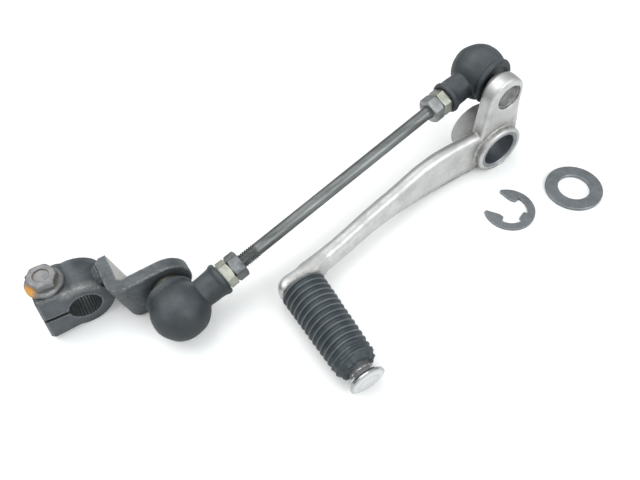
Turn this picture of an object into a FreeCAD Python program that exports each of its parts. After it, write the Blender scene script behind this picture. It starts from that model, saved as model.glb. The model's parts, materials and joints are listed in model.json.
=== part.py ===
import FreeCAD, Part
import math
import os

import Sketcher

# Motorcycle gear shift lever with its ball-jointed link rod and shift-shaft clamp arm.
# Millimetres. Origin: centre of the pivot bore. The pivot axis runs along Y, outboard is -Y,
# the toe peg is forward at -X, +Z is up.

doc = FreeCAD.newDocument("shift_lever")

DRIVING = {
    # pivot
    "boss_radius": 11.5,
    "boss_length": 21.0,
    "bush_wall": 1.4,
    "bore_radius": 8.0,
    # lever arms
    "arm_thick": 6.2,
    "arm_plane": -3.8,
    "arm_round": 2.9,
    "elbow_height": 10.8,
    "elbow_reach": 8.6,
    "plate_thick": 7.0,
    "plate_front": -7.4,
    "stud_eye_x": 0.9,
    "stud_eye_z": 27.7,
    "eye_radius": 8.8,
    "recess_radius": 5.6,
    "recess_depth": 1.6,
    # toe peg
    "peg_x": -109.7,
    "peg_z": -1.9,
    "peg_radius": 4.5,
    "peg_shank_radius": 4.0,
    "peg_shank_length": 6.6,
    "peg_socket_depth": 7.0,
    "peg_seat_y": -22.0,
    "peg_tip_y": -67.1,
    "peg_flare_radius": 7.1,
    "rubber_inner_end_radius": 9.6,
    "rubber_outer_end_radius": 8.2,
    "rubber_length": 39.9,
    "rubber_ribs": 15,
    # ball joints
    "ball_radius": 5.0,
    "ball_to_plate": 13.1,
    "stud_neck_radius": 3.0,
    "stud_flange_radius": 6.2,
    "stud_flange_thick": 2.4,
    "stud_shank_radius": 4.0,
    "joint_clear": 0.05,
    "seat_radius": 6.4,
    "housing_radius": 8.4,
    "housing_top": 6.2,
    "housing_bottom": 7.2,
    "housing_mouth_radius": 5.7,
    "cap_thick": 3.4,
    "seat_open_height": 2.6,
    "neck_radius": 4.9,
    "neck_length": 24.5,
    "boot_neck_end": 20.3,
    "boot_radius": 11.6,
    "boot_neck_radius": 5.8,
    "boot_bead_length": 3.6,
    "boot_lip_height": 8.8,
    "boot_lip_radius": 9.9,
    "boot_mouth_radius": 6.4,
    # rod
    "rod_length": 158.8,
    "rod_drop_deg": 10.1,
    "rod_side_deg": 6.86,
    "rod_radius": 2.67,
    "thread_radius": 3.0,
    "rod_start": 11.5,
    "lower_thread_end": 37.5,
    "upper_thread_end": 31.0,
    "hex_flats": 10.0,
    "nut_thick": 5.0,
    # clamp arm
    "clamp_reach": 30.4,
    "bracket_thick": 5.0,
    "bracket_half_height": 10.6,
    "bracket_back": 26.0,
    "bracket_lean_deg": 9.0,
    "block_front": 16.1,
    "block_length": 15.8,
    "block_radius": 11.5,
    "shaft_radius": 6.3,
    "spline_depth": 0.34,
    "spline_count": 34,
    "ear_reach": 15.8,
    "ear_half": 12.2,
    "ear_tilt_deg": 7.5,
    "slit_width": 1.8,
    "bolt_radius": 3.0,
    "bolt_offset": 10.0,
    "bolt_flange_radius": 7.0,
    "bolt_flange_thick": 2.1,
    "bolt_flats": 10.0,
    "bolt_head_height": 5.4,
    "bolt_dish_radius": 3.0,
    "bolt_dish_depth": 0.5,
    # loose retaining parts
    "washer_radius": 12.3,
    "washer_hole_radius": 6.9,
    "washer_thick": 1.6,
    "washer_x": 19.7,
    "washer_y": -39.2,
    "ring_radius": 10.9,
    "ring_band": 3.1,
    "ring_grip_radius": 5.7,
    "ring_thick": 1.3,
    "ring_x": -11.7,
    "ring_y": -32.7,
    "ring_open_deg": 111.0,
}

sheet = doc.addObject("Spreadsheet::Sheet", "dims")
for row, (alias, value) in enumerate(DRIVING.items(), start=1):
    sheet.set(f"A{row}", alias)
    sheet.set(f"B{row}", str(value))
    sheet.setAlias(f"B{row}", alias)
doc.recompute()


class Size:
    """A length with the sheet expression it comes from, so that every sketch can be bound to the sheet."""

    def __init__(self, value, text):
        self.value = value
        self.text = text

    @staticmethod
    def of(thing):
        return thing if isinstance(thing, Size) else Size(float(thing), repr(float(thing)))

    def _join(self, other, sign, result):
        return Size(result, f"({self.text} {sign} {Size.of(other).text})")

    def __add__(self, other):
        return self._join(other, "+", self.value + Size.of(other).value)

    def __sub__(self, other):
        return self._join(other, "-", self.value - Size.of(other).value)

    def __mul__(self, other):
        return self._join(other, "*", self.value * Size.of(other).value)

    def __truediv__(self, other):
        return self._join(other, "/", self.value / Size.of(other).value)

    def __neg__(self):
        return Size(-self.value, f"(-1 * {self.text})")


class Dims:
    """Driving dimensions by name, read from the sheet."""

    def __getattr__(self, alias):
        return Size(float(sheet.get(alias)), f"dims.{alias}")


d = Dims()


# ---------------------------------------------------------------- helpers
def new_body(label):
    body = doc.addObject("PartDesign::Body", label)
    body.Label = label
    return body


def origin_plane(body, role):
    return next(f for f in body.Origin.OriginFeatures if f.Role == role)


def new_sketch(body, role, offset=0):
    """A sketch on one of the body's origin planes, moved along that plane's normal."""
    sketch = body.newObject("Sketcher::SketchObject", "profile")
    sketch.AttachmentSupport = [(origin_plane(body, role), "")]
    sketch.MapMode = "FlatFace"
    offset = Size.of(offset)
    sketch.AttachmentOffset = FreeCAD.Placement(FreeCAD.Vector(0, 0, offset.value), FreeCAD.Rotation())
    if "dims" in offset.text:
        sketch.setExpression("AttachmentOffset.Base.z", offset.text)
    return sketch


def bind(sketch, index, size):
    if "dims" in size.text:
        sketch.setExpression(f"Constraints[{index}]", size.text)


def add_circle(sketch, centre, radius):
    x, y, radius = Size.of(centre[0]), Size.of(centre[1]), Size.of(radius)
    middle = FreeCAD.Vector(x.value, y.value, 0)
    geo = sketch.addGeometry(Part.Circle(middle, FreeCAD.Vector(0, 0, 1), radius.value), False)
    bind(sketch, sketch.addConstraint(Sketcher.Constraint("Radius", geo, radius.value)), radius)
    for kind, size in (("DistanceX", x), ("DistanceY", y)):
        bind(sketch, sketch.addConstraint(Sketcher.Constraint(kind, -1, 1, geo, 3, size.value)), size)


def add_outline(sketch, points):
    """A closed polygon whose corners are each held at their own distances from the origin."""
    points = [(Size.of(x), Size.of(y)) for x, y in points]
    corners = [FreeCAD.Vector(x.value, y.value, 0) for x, y in points]
    first = None
    for n, corner in enumerate(corners):
        geo = sketch.addGeometry(Part.LineSegment(corner, corners[(n + 1) % len(corners)]), False)
        first = geo if first is None else first
    last = first + len(corners) - 1
    for geo in range(first, last + 1):
        following = geo + 1 if geo < last else first
        sketch.addConstraint(Sketcher.Constraint("Coincident", geo, 2, following, 1))
    for n, (x, y) in enumerate(points):
        for kind, size in (("DistanceX", x), ("DistanceY", y)):
            held = Sketcher.Constraint(kind, -1, 1, first + n, 1, size.value)
            bind(sketch, sketch.addConstraint(held), size)


def extrude(body, kind, sketch, length, both_ways=False, backward=False):
    feature = body.newObject(f"PartDesign::{kind}", kind.lower())
    feature.Profile = sketch
    length = Size.of(length)
    feature.Length = length.value
    if "dims" in length.text:
        feature.setExpression("Length", length.text)
    feature.Midplane = both_ways
    feature.Reversed = backward
    sketch.Visibility = False
    doc.recompute()
    return feature


def turn(body, kind, sketch, axis):
    """Revolve a sketch about its own horizontal ("H_Axis") or vertical ("V_Axis") axis."""
    feature = body.newObject(f"PartDesign::{kind}", kind.lower())
    feature.Profile = sketch
    feature.ReferenceAxis = (sketch, [axis])
    feature.Angle = 360.0
    sketch.Visibility = False
    doc.recompute()
    return feature


def ball(body, kind, radius):
    feature = body.newObject(f"PartDesign::{kind}", kind.lower())
    feature.Radius = radius.value
    feature.setExpression("Radius", radius.text)
    doc.recompute()
    return feature


def ease(body, kind, size, wanted):
    """Fillet or chamfer the edges of the body's tip that the test picks out."""
    base = body.Tip
    names = [f"Edge{n}" for n, edge in enumerate(base.Shape.Edges, start=1) if wanted(edge)]
    feature = body.newObject(f"PartDesign::{kind}", kind.lower())
    feature.Base = (base, names)
    size = Size.of(size)
    prop = "Radius" if kind == "Fillet" else "Size"
    setattr(feature, prop, size.value)
    if "dims" in size.text:
        feature.setExpression(prop, size.text)
    doc.recompute()
    return feature


def hexagon(flats):
    """Corners of a hexagon with the given width across flats, as (x, y) sizes."""
    reach = flats / math.sqrt(3.0)
    angles = [math.radians(60 * n) for n in range(6)]
    return [(reach * math.cos(a), reach * math.sin(a)) for a in angles]


def break_corners(body, role, flats, face, way):
    """Turn a 30 degree chamfer on a hexagon's corners at a face along the local X or Z axis."""
    reach = flats / math.sqrt(3.0)
    low, high, depth = flats / 2 - 0.15, reach + 0.4, (reach + 0.4 - flats / 2 + 0.15) * 0.58
    back = face - depth if way > 0 else face + depth
    sketch = new_sketch(body, "XZ_Plane")
    past = face + 0.2 * way
    if role == "X":
        add_outline(sketch, [(face, low), (back, high), (past, high), (past, low)])
        return turn(body, "Groove", sketch, "H_Axis")
    add_outline(sketch, [(low, face), (high, back), (high, past), (low, past)])
    return turn(body, "Groove", sketch, "V_Axis")


def is_circle(edge, radius):
    return isinstance(edge.Curve, Part.Circle) and abs(edge.Curve.Radius - radius) < 0.01


# ---------------------------------------------------------------- frames of the two ball joints
def unit(vector):
    return FreeCAD.Vector(vector).normalize()


def link_frames():
    """The two joint frames: origin at the ball, local X along the rod, local Z to the stud's plate."""
    drop = math.radians(d.rod_drop_deg.value)
    side = math.radians(d.rod_side_deg.value)
    along = FreeCAD.Vector(
        math.cos(side) * math.cos(drop),
        math.sin(side),
        math.cos(side) * math.sin(drop),
    )
    upper_y = d.plate_front.value + d.plate_thick.value + d.ball_to_plate.value
    upper = FreeCAD.Vector(d.stud_eye_x.value, upper_y, d.stud_eye_z.value)
    lower = upper - along * d.rod_length.value
    outboard = FreeCAD.Vector(0, -1, 0)

    def frame(origin, x_axis, plate_way):
        z_axis = unit(plate_way - x_axis * plate_way.dot(x_axis))
        y_axis = z_axis.cross(x_axis)
        turned = FreeCAD.Rotation(x_axis, y_axis, z_axis, "XZY")
        return FreeCAD.Placement(origin, turned)

    return frame(upper, -along, outboard), frame(lower, along, -outboard)


UPPER_JOINT, LOWER_JOINT = link_frames()
# Rotations that carry local Z onto the stud axes, which lie square to their plates.
UPPER_STUD = FreeCAD.Placement(UPPER_JOINT.Base, FreeCAD.Rotation(FreeCAD.Vector(1, 0, 0), 90))
LOWER_STUD = FreeCAD.Placement(LOWER_JOINT.Base, FreeCAD.Rotation(FreeCAD.Vector(1, 0, 0), -90))


# ---------------------------------------------------------------- lever
# Stations along the lower arm: x, outward set, mid height, full height.
ARM_STATIONS = (
    (0.0, 0.0, 0.0, 22.0),
    (-18.0, 0.0, -0.3, 22.0),
    (-30.0, -0.1, -0.5, 21.0),
    (-42.0, -1.1, -0.7, 18.6),
    (-54.0, -3.1, -0.9, 14.8),
    (-66.0, -5.2, -1.1, 12.4),
    (-82.0, -8.9, -1.4, 11.2),
    (-98.0, -12.3, -1.7, 10.6),
    (-112.0, -15.1, -1.9, 10.6),
)


def arm_section(body, station):
    """A rectangle square to X: local x is the outward direction, local y is height."""
    x, out, middle, height = station
    sketch = new_sketch(body, "YZ_Plane", x)
    left = d.arm_plane + out - d.arm_thick / 2
    right = d.arm_plane + out + d.arm_thick / 2
    low, high = middle - height / 2, middle + height / 2
    add_outline(sketch, [(left, low), (right, low), (right, high), (left, high)])
    sketch.Visibility = False
    return sketch


def shift_lever():
    body = new_body("shift_lever")
    sections = [arm_section(body, s) for s in ARM_STATIONS]
    arm = body.newObject("PartDesign::AdditiveLoft", "arm")
    arm.Profile = sections[0]
    arm.Sections = sections[1:]
    arm.Ruled = False
    doc.recompute()
    ease(body, "Fillet", d.arm_round, lambda e: e.BoundBox.XLength > 40)

    elbow = new_sketch(body, "XY_Plane", d.peg_z)
    far = d.peg_x - d.elbow_reach
    add_outline(elbow, [
        (d.peg_x + 13.0, d.peg_seat_y + 3.4),
        (d.peg_x + 13.0, d.peg_seat_y + 6.0),
        (d.peg_x - 2.6, d.peg_seat_y + 6.3),
        (far, d.peg_seat_y + 5.1),
        (far, d.peg_seat_y),
        (d.peg_x + 5.0, d.peg_seat_y),
    ])
    extrude(body, "Pad", elbow, d.elbow_height, both_ways=True)
    ease(body, "Fillet", 3.8, lambda e: e.BoundBox.ZLength > 9 and abs(e.CenterOfMass.x - far.value) < 0.01
         and e.CenterOfMass.y > d.peg_seat_y.value + 4)
    low = d.peg_z.value - d.elbow_height.value / 2
    high = d.peg_z.value + d.elbow_height.value / 2
    ease(body, "Fillet", 2.2, lambda e: e.CenterOfMass.x < far.value + 0.01
         and (abs(e.BoundBox.ZMin - high) < 0.01 or abs(e.BoundBox.ZMax - low) < 0.01))

    plate = new_sketch(body, "XZ_Plane", -(d.plate_front + d.plate_thick))
    shoulder = d.stud_eye_z + 0.8
    eye_x = d.stud_eye_x - 1.4
    add_outline(plate, [
        (-10.4, 0),
        (-10.2, 12.5),
        (eye_x - d.eye_radius, shoulder),
        (eye_x + d.eye_radius, shoulder),
        (eye_x + d.eye_radius + 0.2, 22),
        (10.1, 12.5),
        (d.boss_radius - 0.4, 0),
    ])
    extrude(body, "Pad", plate, d.plate_thick)
    crown = new_sketch(body, "XZ_Plane", -(d.plate_front + d.plate_thick))
    add_circle(crown, (eye_x, shoulder), d.eye_radius)
    extrude(body, "Pad", crown, d.plate_thick)
    front, back = d.plate_front.value, d.plate_front.value + d.plate_thick.value
    ease(body, "Fillet", 1.6, lambda e: e.BoundBox.ZMin > 12.4
         and (abs(e.BoundBox.YMin - front) < 0.01 or abs(e.BoundBox.YMax - back) < 0.01)
         and e.BoundBox.YLength < 0.1)

    boss = new_sketch(body, "XZ_Plane")
    add_circle(boss, (0, 0), d.boss_radius)
    extrude(body, "Pad", boss, d.boss_length, both_ways=True)
    rim = d.boss_radius.value
    half = d.boss_length.value / 2
    ease(body, "Fillet", 1.1, lambda e: is_circle(e, rim) and abs(abs(e.CenterOfMass.y) - half) < 0.01)

    bore = new_sketch(body, "XZ_Plane")
    add_circle(bore, (0, 0), d.bore_radius + d.bush_wall)
    extrude(body, "Pocket", bore, d.boss_length + 2, both_ways=True)
    eye = new_sketch(body, "XZ_Plane", -(d.plate_front + d.plate_thick / 2))
    add_circle(eye, (d.stud_eye_x, d.stud_eye_z), d.stud_shank_radius)
    extrude(body, "Pocket", eye, d.plate_thick + 1, both_ways=True)
    recess = new_sketch(body, "XZ_Plane", -d.plate_front)
    add_circle(recess, (d.stud_eye_x, d.stud_eye_z), d.recess_radius)
    extrude(body, "Pocket", recess, d.recess_depth * 2, both_ways=True)
    socket = new_sketch(body, "XZ_Plane", -d.peg_seat_y)
    add_circle(socket, (d.peg_x, d.peg_z), d.peg_shank_radius)
    extrude(body, "Pocket", socket, d.peg_socket_depth * 2, both_ways=True)
    return body


def pivot_bush():
    body = new_body("pivot_bush")
    sketch = new_sketch(body, "XZ_Plane")
    add_circle(sketch, (0, 0), d.bore_radius + d.bush_wall)
    add_circle(sketch, (0, 0), d.bore_radius)
    extrude(body, "Pad", sketch, d.boss_length - 0.6, both_ways=True)
    inner = d.bore_radius.value
    ease(body, "Chamfer", 0.5, lambda e: is_circle(e, inner))
    return body


def toe_peg():
    """Steel peg pin, turned about its own Z and laid along -Y: shank, body, waist and flared domed end."""
    body = new_body("toe_peg")
    sketch = new_sketch(body, "XZ_Plane")
    reach = d.peg_seat_y - d.peg_tip_y
    shank = d.peg_shank_radius - 0.02
    add_outline(sketch, [
        (0, -d.peg_shank_length),
        (shank - 0.58, -d.peg_shank_length),
        (shank, -d.peg_shank_length + 0.6),
        (shank, 0.02),
        (d.peg_radius, 0.02),
        (d.peg_radius, reach - 4.9),
        (d.peg_radius + 0.6, reach - 3.0),
        (d.peg_radius + 1.5, reach - 1.3),
        (d.peg_flare_radius, reach - 0.3),
        (d.peg_flare_radius, reach + 0.4),
        (d.peg_flare_radius - 1.6, reach + 0.9),
        (d.peg_flare_radius - 4.2, reach + 1.3),
        (0, reach + 1.4),
    ])
    turn(body, "Revolution", sketch, "V_Axis")
    body.Placement = peg_placement()
    return body


def peg_placement():
    base = FreeCAD.Vector(d.peg_x.value, d.peg_seat_y.value, d.peg_z.value)
    return FreeCAD.Placement(base, FreeCAD.Rotation(FreeCAD.Vector(1, 0, 0), 90))


def toe_rubber():
    """Ribbed sleeve: one narrow groove between neighbouring ribs, tapering outward."""
    body = new_body("toe_rubber")
    sketch = new_sketch(body, "XZ_Plane")
    ribs = int(d.rubber_ribs.value)
    pitch = d.rubber_length / d.rubber_ribs
    taper = (d.rubber_inner_end_radius - d.rubber_outer_end_radius) / d.rubber_ribs
    points = [(d.peg_radius + 0.02, 0.05)]
    for n in range(ribs):
        radius = d.rubber_inner_end_radius - taper * (n + 0.5)
        start = pitch * n
        points += [
            (radius - 0.9, start + (0.05 if n == 0 else 0)),
            (radius, start + pitch * 0.22),
            (radius, start + pitch * 0.72),
        ]
    points += [
        (d.rubber_outer_end_radius - 1.2, d.rubber_length),
        (d.peg_radius + 0.02, d.rubber_length),
    ]
    add_outline(sketch, points)
    turn(body, "Revolution", sketch, "V_Axis")
    body.Placement = peg_placement()
    return body


# ---------------------------------------------------------------- ball joints (local frame, placed twice)
def ball_stud(label, plate, sunk, placement):
    """Ball, neck and flange in front of a plate, a shank through it and a riveted head on its far side."""
    body = new_body(label)
    sketch = new_sketch(body, "XZ_Plane")
    face = d.ball_to_plate
    far = face + plate - sunk
    add_outline(sketch, [
        (0, 0),
        (d.stud_neck_radius, 0),
        (d.stud_neck_radius, face - d.stud_flange_thick - 1.6),
        (d.stud_neck_radius + 0.9, face - d.stud_flange_thick),
        (d.stud_flange_radius, face - d.stud_flange_thick),
        (d.stud_flange_radius, face),
        (d.stud_shank_radius, face),
        (d.stud_shank_radius, far),
        (d.stud_shank_radius + 0.8, far),
        (d.stud_shank_radius + 0.6, far + 0.6),
        (d.stud_shank_radius - 0.6, far + 1.2),
        (2.0, far + 1.3),
        (1.6, far + 0.9),
        (0, far + 0.9),
    ])
    turn(body, "Revolution", sketch, "V_Axis")
    ball(body, "AdditiveSphere", d.ball_radius)
    body.Placement = placement
    return body


def ball_seat(label, placement):
    """Plastic seat: a thick spherical shell, open toward the stud."""
    body = new_body(label)
    ball(body, "AdditiveSphere", d.seat_radius)
    ball(body, "SubtractiveSphere", d.ball_radius + d.joint_clear)
    mouth = new_sketch(body, "XY_Plane", d.seat_open_height)
    add_circle(mouth, (0, 0), 8)
    extrude(body, "Pocket", mouth, 8, backward=True)
    body.Placement = placement
    return body


def rod_end(label, placement):
    """Housing round the seat with an internally threaded neck that ends in a hexagon."""
    body = new_body(label)
    shell = new_sketch(body, "XY_Plane", -d.housing_bottom)
    add_circle(shell, (0, 0), d.housing_radius)
    extrude(body, "Pad", shell, d.housing_top + d.housing_bottom)
    neck = new_sketch(body, "YZ_Plane")
    add_circle(neck, (0, 0), d.neck_radius)
    extrude(body, "Pad", neck, d.boot_neck_end + 0.3)
    flats = new_sketch(body, "YZ_Plane", d.boot_neck_end + 0.3)
    add_outline(flats, hexagon(d.hex_flats))
    extrude(body, "Pad", flats, d.neck_length - d.boot_neck_end - 0.3)
    break_corners(body, "X", d.hex_flats, d.neck_length, 1)
    hollow = d.seat_radius + d.joint_clear
    ball(body, "SubtractiveSphere", hollow)
    back = new_sketch(body, "XY_Plane")
    add_circle(back, (0, 0), hollow)
    extrude(body, "Pocket", back, d.housing_bottom + 1)
    mouth = new_sketch(body, "XY_Plane")
    add_circle(mouth, (0, 0), d.housing_mouth_radius)
    extrude(body, "Pocket", mouth, d.housing_top + 1, backward=True)
    thread = new_sketch(body, "YZ_Plane", 9.6)
    add_circle(thread, (0, 0), d.thread_radius + d.joint_clear)
    extrude(body, "Pocket", thread, d.neck_length - 8, backward=True)
    body.Placement = placement
    return body


def seat_cap(label, placement):
    """Closing disc rolled into the back of the housing, dished to hold the seat."""
    body = new_body(label)
    disc = new_sketch(body, "XY_Plane", -d.housing_bottom)
    add_circle(disc, (0, 0), d.seat_radius + d.joint_clear)
    extrude(body, "Pad", disc, d.cap_thick)
    ball(body, "SubtractiveSphere", d.seat_radius + d.joint_clear)
    body.Placement = placement
    return body


def dust_boot(label, placement):
    """Moulded rubber cover: a dome over the housing, a sleeve along its neck and a lip round the stud."""
    body = new_body(label)
    ball(body, "AdditiveSphere", d.boot_radius)
    crown = new_sketch(body, "XY_Plane", d.housing_top + 0.7)
    add_circle(crown, (0, 0), d.boot_radius + 1)
    extrude(body, "Pocket", crown, d.boot_radius, backward=True)
    lip = new_sketch(body, "XY_Plane", d.housing_top + 0.1)
    add_circle(lip, (0, 0), d.boot_lip_radius)
    extrude(body, "Pad", lip, d.boot_lip_height - d.housing_top - 0.1)
    sleeve = new_sketch(body, "YZ_Plane")
    add_circle(sleeve, (0, 0), d.boot_neck_radius)
    extrude(body, "Pad", sleeve, d.boot_neck_end)
    bead = new_sketch(body, "YZ_Plane", d.boot_neck_end - d.boot_bead_length)
    add_circle(bead, (0, 0), d.boot_neck_radius + 0.8)
    extrude(body, "Pad", bead, d.boot_bead_length)
    hollow = new_sketch(body, "XY_Plane", -d.housing_bottom - 0.02)
    add_circle(hollow, (0, 0), d.housing_radius + 0.02)
    extrude(body, "Pocket", hollow, d.housing_top + d.housing_bottom + 0.04, backward=True)
    mouth = new_sketch(body, "XY_Plane")
    add_circle(mouth, (0, 0), d.boot_mouth_radius)
    extrude(body, "Pocket", mouth, d.boot_radius, backward=True)
    neck = new_sketch(body, "YZ_Plane")
    add_circle(neck, (0, 0), d.neck_radius + 0.02)
    extrude(body, "Pocket", neck, d.neck_length, backward=True)
    body.Placement = placement
    return body


def lock_nut(label, placement):
    body = new_body(label)
    sketch = new_sketch(body, "YZ_Plane", d.neck_length + 0.02)
    add_outline(sketch, hexagon(d.hex_flats))
    add_circle(sketch, (0, 0), d.thread_radius + d.joint_clear)
    extrude(body, "Pad", sketch, d.nut_thick)
    break_corners(body, "X", d.hex_flats, d.neck_length + 0.02, -1)
    break_corners(body, "X", d.hex_flats, d.neck_length + 0.02 + d.nut_thick, 1)
    body.Placement = placement
    return body


# ---------------------------------------------------------------- rod
def link_rod():
    """Plain rod, thicker over its two threaded ends; drawn from the lower ball along local X."""
    body = new_body("link_rod")
    sketch = new_sketch(body, "XZ_Plane")
    start = d.rod_start
    end = d.rod_length - d.rod_start
    add_outline(sketch, [
        (start, 0),
        (start, d.thread_radius - 0.6),
        (start + 0.6, d.thread_radius),
        (d.lower_thread_end, d.thread_radius),
        (d.lower_thread_end + 0.7, d.rod_radius),
        (d.rod_length - d.upper_thread_end - 0.7, d.rod_radius),
        (d.rod_length - d.upper_thread_end, d.thread_radius),
        (end - 0.6, d.thread_radius),
        (end, d.thread_radius - 0.6),
        (end, 0),
    ])
    turn(body, "Revolution", sketch, "H_Axis")
    body.Placement = LOWER_JOINT
    return body


# ---------------------------------------------------------------- clamp arm
# Local frame of the clamp arm: origin at the shift shaft's axis, x and z as the lever's own.
def clamp_centre():
    ball_at = LOWER_JOINT.Base
    return FreeCAD.Vector(ball_at.x - d.clamp_reach.value, 0, ball_at.z)


CLAMP = FreeCAD.Placement(clamp_centre(), FreeCAD.Rotation())


def leaned(x, z):
    """A point given square to the bracket's back leg, turned to the leg's lean about the shift shaft."""
    lean = math.radians(d.bracket_lean_deg.value)
    x, z = Size.of(x), Size.of(z)
    return (x * math.cos(lean) - z * math.sin(lean), x * math.sin(lean) + z * math.cos(lean))


def leg_edge(distance, height):
    """Where a face of the leaning back leg crosses a given height."""
    lean = math.radians(d.bracket_lean_deg.value)
    return (distance * (1 / math.cos(lean)) - height * math.tan(lean), height)


def clamp_bracket():
    """Plate bent to an L: the front leg carries the ball stud, the back leg leans on the block's side."""
    body = new_body("clamp_bracket")
    near = Size.of(LOWER_JOINT.Base.y + d.ball_to_plate.value)
    top = d.bracket_half_height
    outer, inner = d.block_radius, d.block_radius + d.bracket_thick
    back_leg = new_sketch(body, "XZ_Plane", -near)
    add_outline(back_leg, [
        leg_edge(outer, top),
        leg_edge(inner, top),
        leg_edge(inner, -top),
        leg_edge(outer, -top),
    ])
    extrude(body, "Pad", back_leg, d.bracket_back - near, backward=True)
    front_leg = new_sketch(body, "XZ_Plane", -near)
    add_outline(front_leg, [
        leg_edge(outer + 1, top),
        (d.clamp_reach, top),
        (d.clamp_reach, -top),
        leg_edge(outer + 1, -top),
    ])
    extrude(body, "Pad", front_leg, d.bracket_thick, backward=True)
    tip = new_sketch(body, "XZ_Plane", -near)
    add_circle(tip, (d.clamp_reach, 0), d.bracket_half_height)
    extrude(body, "Pad", tip, d.bracket_thick, backward=True)
    tall = 2 * top.value - 0.5
    front, bend = near.value, near.value + d.bracket_thick.value
    ease(body, "Fillet", 5.0, lambda e: e.BoundBox.ZLength > tall and abs(e.BoundBox.YMin - front) < 0.01
         and e.BoundBox.YLength < 0.01 and e.CenterOfMass.x < outer.value + 3)
    ease(body, "Fillet", 1.5, lambda e: e.BoundBox.ZLength > tall and abs(e.BoundBox.YMin - bend) < 0.01
         and e.BoundBox.YLength < 0.01)
    ease(body, "Chamfer", 2.2, lambda e: e.BoundBox.ZLength > tall and e.CenterOfMass.x < outer.value + 1.5
         and abs(e.CenterOfMass.y - d.bracket_back.value) < 0.01)
    ease(body, "Chamfer", 0.5, lambda e: abs(e.CenterOfMass.y - front) < 0.01
         and e.CenterOfMass.x > inner.value + 1 and e.BoundBox.YLength < 0.01)
    hole = new_sketch(body, "XZ_Plane", -(near + d.bracket_thick / 2))
    add_circle(hole, (d.clamp_reach, 0), d.stud_shank_radius)
    extrude(body, "Pocket", hole, d.bracket_thick + 4, both_ways=True)
    body.Placement = CLAMP
    return body


def block_placement():
    """The block's ears point forward and a little upward; its local x runs back toward the bracket."""
    tilt = FreeCAD.Rotation(FreeCAD.Vector(0, 1, 0), d.ear_tilt_deg.value)
    return FreeCAD.Placement(CLAMP.Base, tilt)


def clamp_block():
    """Round boss with two ears, splined bore, slit and a cross hole for the pinch bolt."""
    body = new_body("clamp_block")
    front = -d.block_front
    boss = new_sketch(body, "XZ_Plane", front)
    add_circle(boss, (0, 0), d.block_radius)
    extrude(body, "Pad", boss, d.block_length, backward=True)
    ears = new_sketch(body, "XZ_Plane", front)
    add_outline(ears, [
        (-d.ear_reach, -d.ear_half + 1.2),
        (-d.ear_reach + 1.2, -d.ear_half),
        (-4, -d.block_radius + 0.8),
        (0, -4),
        (0, 4),
        (-2, d.block_radius - 0.3),
        (-4.2, d.ear_half - 0.2),
        (-d.ear_reach + 0.8, d.ear_half - 0.2),
        (-d.ear_reach, d.ear_half - 1.0),
    ])
    extrude(body, "Pad", ears, d.block_length, backward=True)
    edge = d.block_front.value
    far = edge + d.block_length.value
    ease(body, "Chamfer", 0.7, lambda e: e.BoundBox.YLength < 0.01
         and (abs(e.CenterOfMass.y - edge) < 0.01 or abs(e.CenterOfMass.y - far) < 0.01))
    shaft = new_sketch(body, "XZ_Plane", front)
    add_circle(shaft, (0, 0), d.shaft_radius)
    extrude(body, "Pocket", shaft, d.block_length * 2 + 4, both_ways=True)
    groove = new_sketch(body, "XZ_Plane", front)
    step = math.radians(360 / d.spline_count.value)
    inner = d.shaft_radius - 0.15
    outer = d.shaft_radius + d.spline_depth
    add_outline(groove, [
        (inner * math.cos(step * 0.24), inner * math.sin(step * 0.24)),
        (outer * math.cos(step * 0.06), outer * math.sin(step * 0.06)),
        (outer * math.cos(step * 0.06), -outer * math.sin(step * 0.06)),
        (inner * math.cos(step * 0.24), -inner * math.sin(step * 0.24)),
    ])
    cut = extrude(body, "Pocket", groove, d.block_length * 2 + 4, both_ways=True)
    around = body.newObject("PartDesign::PolarPattern", "splines")
    around.Originals = [cut]
    around.Axis = (origin_axis(body, "Y_Axis"), [""])
    around.Angle = 360
    around.Occurrences = int(d.spline_count.value)
    body.Tip = around
    doc.recompute()
    slit = new_sketch(body, "XZ_Plane", front)
    half = d.slit_width / 2
    add_outline(slit, [(-d.ear_reach - 2, -half), (0, -half), (0, half), (-d.ear_reach - 2, half)])
    extrude(body, "Pocket", slit, d.block_length * 2 + 4, both_ways=True)
    hole = new_sketch(body, "XY_Plane")
    add_circle(hole, (-d.bolt_offset, d.block_front + d.block_length / 2), d.bolt_radius + 0.1)
    extrude(body, "Pocket", hole, d.ear_half * 2 + 4, both_ways=True)
    body.Placement = block_placement()
    return body


def origin_axis(body, role):
    return next(f for f in body.Origin.OriginFeatures if f.Role == role)


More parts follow.
